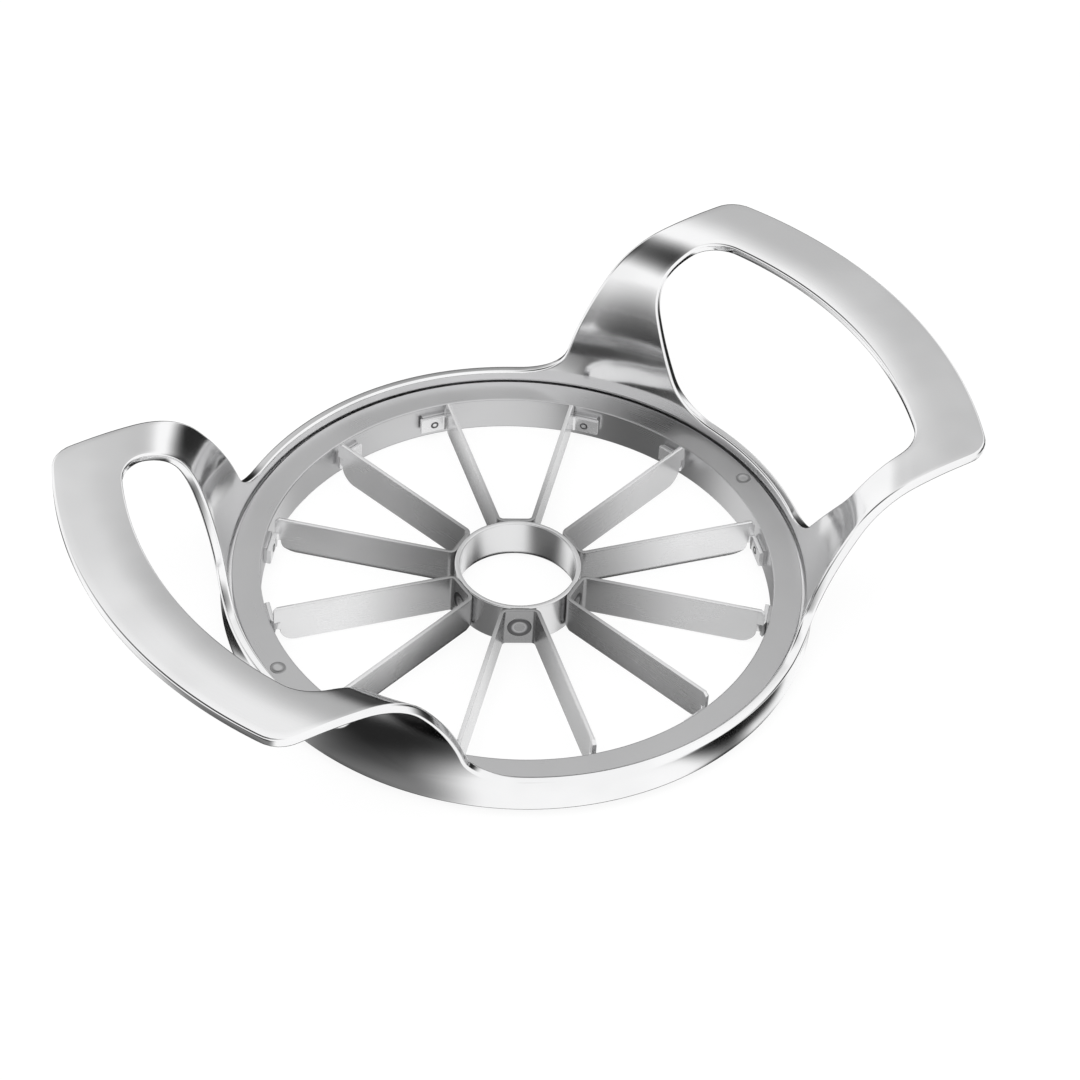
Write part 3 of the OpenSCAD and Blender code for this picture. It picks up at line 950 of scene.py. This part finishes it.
dress(ring, satin, "satin_ring", "blade_ring")

# %% [markdown]
# ## The core tube
# The core tube is a short piece of drawn tube. Its lower edge is ground sharp from
# the inside, and its top edge is only broken. Six flats take the bridges of the
# blade strips. They are pressed into the spun tube by moving its outer vertices back.

# %% Spin the tube and press its flats
TUBE_R = 12.0
BORE = 11.0
TUBE_LOW = 0.5
TUBE_TOP = 9.0
TUBE_BREAK = 0.25
GROUND = 1.5
FLAT = 11.8
# what a ground edge keeps of the sheet's thickness
EDGE = 0.1

tube = lathe("turned_tube", rounded([
    (TUBE_R, TUBE_LOW, 0), (TUBE_R, TUBE_TOP, TUBE_BREAK), (BORE, TUBE_TOP, TUBE_BREAK),
    (BORE, TUBE_LOW + GROUND, 0), (FLAT - EDGE, TUBE_LOW, 0),
]), steps_round=240)
for vertex in tube.data.vertices:
    for i in range(STRIPS):
        outward = Vector((math.cos(i * PITCH), math.sin(i * PITCH), 0))
        over_flat = vertex.co.dot(outward) - FLAT * MM
        if over_flat > 0:
            vertex.co -= outward * over_flat
shade(tube)
dress(tube, tube_steel, "satin_tube", "core_tube")

# %% [markdown]
# ## The blade strips: their line
# Two blades are one folded strip: a bridge that sits on the tube, a blade to each
# side, and at each end a foot bent sideways against the ring. The strip is swept: one
# section across the sheet is carried along the folded line in plan. Each station of
# the line holds a place and the sheet's lower and upper end there, which gives the
# rounded lower corner, the neck and the foot. A short tip above each foot carries the
# blade's top on to the ring.

# %% Helpers: a fold, and the ends of the sheet
FOLD_STEPS = 8
BLADE_LOW = 0.5
BLADE_TOP = 8.9
BLADE_END = 46.3
END_CORNER = 3.0
FOOT_TOP = 5.4
FOOT_LOW = 2.0
NECK_LOW = 3.6


def fold(before, corner, after, radius):
    """Points round one fold of a line."""
    come = (before - corner).normalized()
    go = (after - corner).normalized()
    half = come.angle(go) / 2
    centre = corner + (come + go).normalized() * radius / math.sin(half)
    first = corner + come * radius / math.tan(half) - centre
    last = corner + go * radius / math.tan(half) - centre
    return [centre + first.lerp(last, share).normalized() * radius
            for share in steps(0, 1, FOLD_STEPS)]


def blade_height(along):
    """The blade's lower and upper end, at this distance from the axis."""
    low = BLADE_LOW
    corner_start = BLADE_END - END_CORNER
    if along > BLADE_END:
        low = NECK_LOW
    elif along > corner_start:
        low += END_CORNER - math.sqrt(max(0.0, END_CORNER ** 2 - (along - corner_start) ** 2))
    return low, FOOT_TOP if along > BLADE_END else BLADE_TOP

# %% [markdown]
# ## The blade strips: half a strip
# Half a strip runs from the middle of the bridge, round the first fold, along the
# blade and round the foot's fold. The other half is its mirror image. Stations are
# close together only where the sheet bends or its lower corner is round.

# %% Set out the stations of half a strip
BRIDGE_FOLD = 1.2
FOOT_FOLD = 1.0
CORNER_STEPS = 12
BLADE_START = 16.0
# the width of the step where the blade drops to its foot
STEP = 0.02
# where the tip ends, and the last stretch over which it slopes down
TIP = 47.5
TIP_SLOPE = 0.7

blade_way = Vector((math.cos(BLADE_TURN), math.sin(BLADE_TURN)))
foot_way = Vector((math.cos(BLADE_TURN + foot_turn), math.sin(BLADE_TURN + foot_turn)))
foot_side = Vector((-foot_way.y, foot_way.x))
bridge_x = FLAT + SHEET / 2
bridge_point = Vector((bridge_x, 0))
bridge_corner = Vector((bridge_x, bridge_x * math.tan(BLADE_TURN)))
foot_corner = blade_way * foot_middle / math.cos(foot_turn)
foot_point = foot_way * foot_middle + foot_side * FOOT_LEN / 2

line = [(bridge_point + (bridge_corner - bridge_point) * t, BLADE_LOW, BLADE_TOP)
        for t in (0.0, 0.25, 0.5)]
line += [(p, BLADE_LOW, BLADE_TOP)
         for p in fold(bridge_point, bridge_corner, foot_corner, BRIDGE_FOLD)]
alongs = steps(BLADE_START, BLADE_END - END_CORNER, CORNER_STEPS)
alongs += [BLADE_END - END_CORNER * (1 - math.sin(a))
           for a in steps(0, math.pi / 2, CORNER_STEPS)[1:]]
alongs += [BLADE_END + STEP]
line += [(blade_way * a, *blade_height(a)) for a in alongs]
foot_fold = fold(bridge_corner, foot_corner, foot_point, FOOT_FOLD)
line += [(p, NECK_LOW, FOOT_TOP) for p in foot_fold[:FOLD_STEPS // 2]]
line += [(p, FOOT_LOW, FOOT_TOP) for p in foot_fold[FOLD_STEPS // 2:]]
line += [(foot_corner + (foot_point - foot_corner) * t, FOOT_LOW, FOOT_TOP)
         for t in (0.5, 0.97, 1.0)]
tip = [(blade_way * a, FOOT_TOP, min(BLADE_TOP, BLADE_TOP + TIP - TIP_SLOPE - a))
       for a in (BLADE_END + STEP / 2, TIP - TIP_SLOPE, TIP)]
print("stations on half a strip:", len(line))

# %% [markdown]
# ## The blade strips: their section
# The section is drawn from its lower end to its upper one and back. Both long edges
# are broken, and the lower end of a blade is ground thin from one side, which makes
# the cutting edge. A foot starts near the top of the ground stretch, so it keeps nearly
# the full sheet.

# %% The section across the sheet
BEVEL = 1.6
BREAK = 0.14
# how far a broken edge's middle point lies from both faces
BREAK_MIDDLE = 0.3 * BREAK
# the most of a thin edge that each of its two broken corners may take
THIN_SHARE = 0.4


def thickness(high):
    """The sheet's thickness at this height: thin at the cutting edge."""
    share = min(1.0, max(0.0, (high - BLADE_LOW) / BEVEL))
    return EDGE + (SHEET - EDGE) * share


def strip_section(low, high):
    """Points round the sheet: across it from the inside of the V, then up."""
    edge = min(BREAK, thickness(low) * THIN_SHARE)
    ground = max(BLADE_LOW + BEVEL, low + edge)
    return [
        (edge, low), (0, low + edge), (0, ground), (0, high - BREAK),
        (BREAK_MIDDLE, high - BREAK_MIDDLE), (BREAK, high),
        (SHEET - BREAK, high), (SHEET - BREAK_MIDDLE, high - BREAK_MIDDLE),
        (SHEET, high - BREAK), (SHEET, ground),
        (thickness(low + edge), low + edge), (thickness(low) - edge, low),
    ]


section_points = len(strip_section(BLADE_LOW, BLADE_TOP))
print("points round the section:", section_points)

# %% [markdown]
# ## The blade strips: the sweep
# A grid primitive has one column for each station and one row for each point of the
# section. Its last row falls on its first and is merged with it, and its two ends are
# closed. The UV map holds each point's length along the strip and its height, so that
# the brushing follows the folds. One strip is made, and then copied round the tube.

# %% Helpers: sweep the section along the line
# parts the map's rows a little where two points of the section are equally high
ROW_SHIFT = 0.01


def strip_point(stations, column, row):
    """One vertex of the sweep: a station's place, moved across the sheet."""
    here, low, high = stations[column]
    ahead = stations[min(column + 1, len(stations) - 1)][0]
    behind = stations[max(column - 1, 0)][0]
    way = (ahead - behind).normalized()
    across, height = strip_section(low, high)[row % section_points]
    outward = Vector((way.y, -way.x))
    place = here + outward * (SHEET / 2 - across)
    return Vector((place.x, place.y, height)) * MM


def map_grain(strip, stations):
    """A UV map of the length along the strip and the height, in metres."""
    lengths = [0.0]
    for (a, *_), (b, *_) in zip(stations, stations[1:]):
        lengths.append(lengths[-1] + (b - a).length)
    grain_map = strip.data.uv_layers.active or strip.data.uv_layers.new(name="grain")
    for corner in strip.data.loops:
        row, column = divmod(corner.vertex_index, len(stations))
        height = strip.data.vertices[corner.vertex_index].co.z / MM
        grain_map.data[corner.index].uv = (
            lengths[column] * MM, (height + row % section_points * ROW_SHIFT) * MM)


def sweep_strip(name, stations):
    """Carries the section along the stations."""
    strip = lay_grid(name, len(stations) - 1, section_points,
                     lambda column, row: strip_point(stations, column, row))
    map_grain(strip, stations)
    return tidy_mesh(strip, close=True)


def other_side(half):
    """The same stations on the other half of the strip, in the other order."""
    return [(Vector((p.x, -p.y)), low, high) for p, low, high in half[::-1]]

# %% Sweep one strip and copy it round
whole_line = other_side(line)[:-1] + line
first_strip = join([sweep_strip("strip", whole_line), sweep_strip("tip", tip),
                    sweep_strip("tip", other_side(tip))], "strip")
shade(first_strip, 30)
for i in range(STRIPS):
    strip = copy_of(first_strip, f"folded_strip_{i + 1}", Matrix.Rotation(i * PITCH, 4, "Z"))
    dress(strip, brushed, "blade_steel", f"blade_strip_{i + 1}")
bpy.data.objects.remove(first_strip)

# %% [markdown]
# ## The spot welds
# A spot weld leaves a round nugget that the electrode has pressed: a slightly raised
# ring with a shallow dimple. One button of each size is spun, turned to face out of
# its sheet, and copied to every place.

# %% Helpers: spin a weld button and set its copies
PROUD = 0.1
# the pressed face: the share of the radius, and how deep it lies under the raised ring
FACE = [(0.985, 0.05), (0.93, 0.01), (0.86, 0), (0.72, 0.02), (0.58, 0.07), (0.42, 0.11),
        (0.2, 0.12), (0, 0.12)]


def button(radius, sheet):
    """A weld nugget along Z, from the far side of its sheet to its pressed face."""
    section = [(0, 0), (radius * 0.96, 0), (radius, 0.04), (radius, sheet)]
    section += [(radius * share, sheet + PROUD - drop) for share, drop in FACE]
    obj = shade(lathe("button", section, steps_round=48), 60)
    share_map = obj.data.uv_layers.active or obj.data.uv_layers.new(name="share")
    for corner in obj.data.loops:
        place = obj.data.vertices[corner.vertex_index].co
        share_map.data[corner.index].uv = (math.hypot(place.x, place.y) / (radius * MM), 0)
    return obj


def set_buttons(name, radius, sheet, finish, places, *nodes):
    """Copies one button to every place and joins them into one piece."""
    one = button(radius, sheet)
    copies = [copy_of(one, name, place) for place in places]
    bpy.data.objects.remove(one)
    dress(join(copies, name), finish, "weld_metal", *nodes)


def facing(turn, out, high, lean):
    """Turns a button's axis from up to outward (lean 90) or inward (lean -90)."""
    return (Matrix.Rotation(turn, 4, "Z") @ Matrix.Translation(Vector((out, 0, high)) * MM)
            @ Matrix.Rotation(math.radians(lean), 4, "Y"))

# %% Set the welds in place
TUBE_WELD = 2.3
FOOT_WELD = 0.8
SEAT_WELD = 1.5
BRIDGE_MID = (BLADE_LOW + BLADE_TOP) / 2
FOOT_WELD_Z = (FOOT_LOW + FOOT_TOP) / 2
SEAT_CIRCLE = 51.8

set_buttons("bridge_nuggets", TUBE_WELD, SHEET, nugget,
            [facing(i * PITCH, FLAT, BRIDGE_MID, 90) for i in range(STRIPS)], "tube_welds")
set_buttons("foot_nuggets", FOOT_WELD, SHEET, nugget,
            [facing(a, PAD_FACE, FOOT_WELD_Z, -90) for a in feet], "foot_welds")
set_buttons("ledge_nuggets", SEAT_WELD, RING_TOP - SHELF_TOP, ledge_nugget,
            [facing(a, SEAT_CIRCLE, SHELF_TOP, 0) for a in (0, math.pi)], "seat_welds")
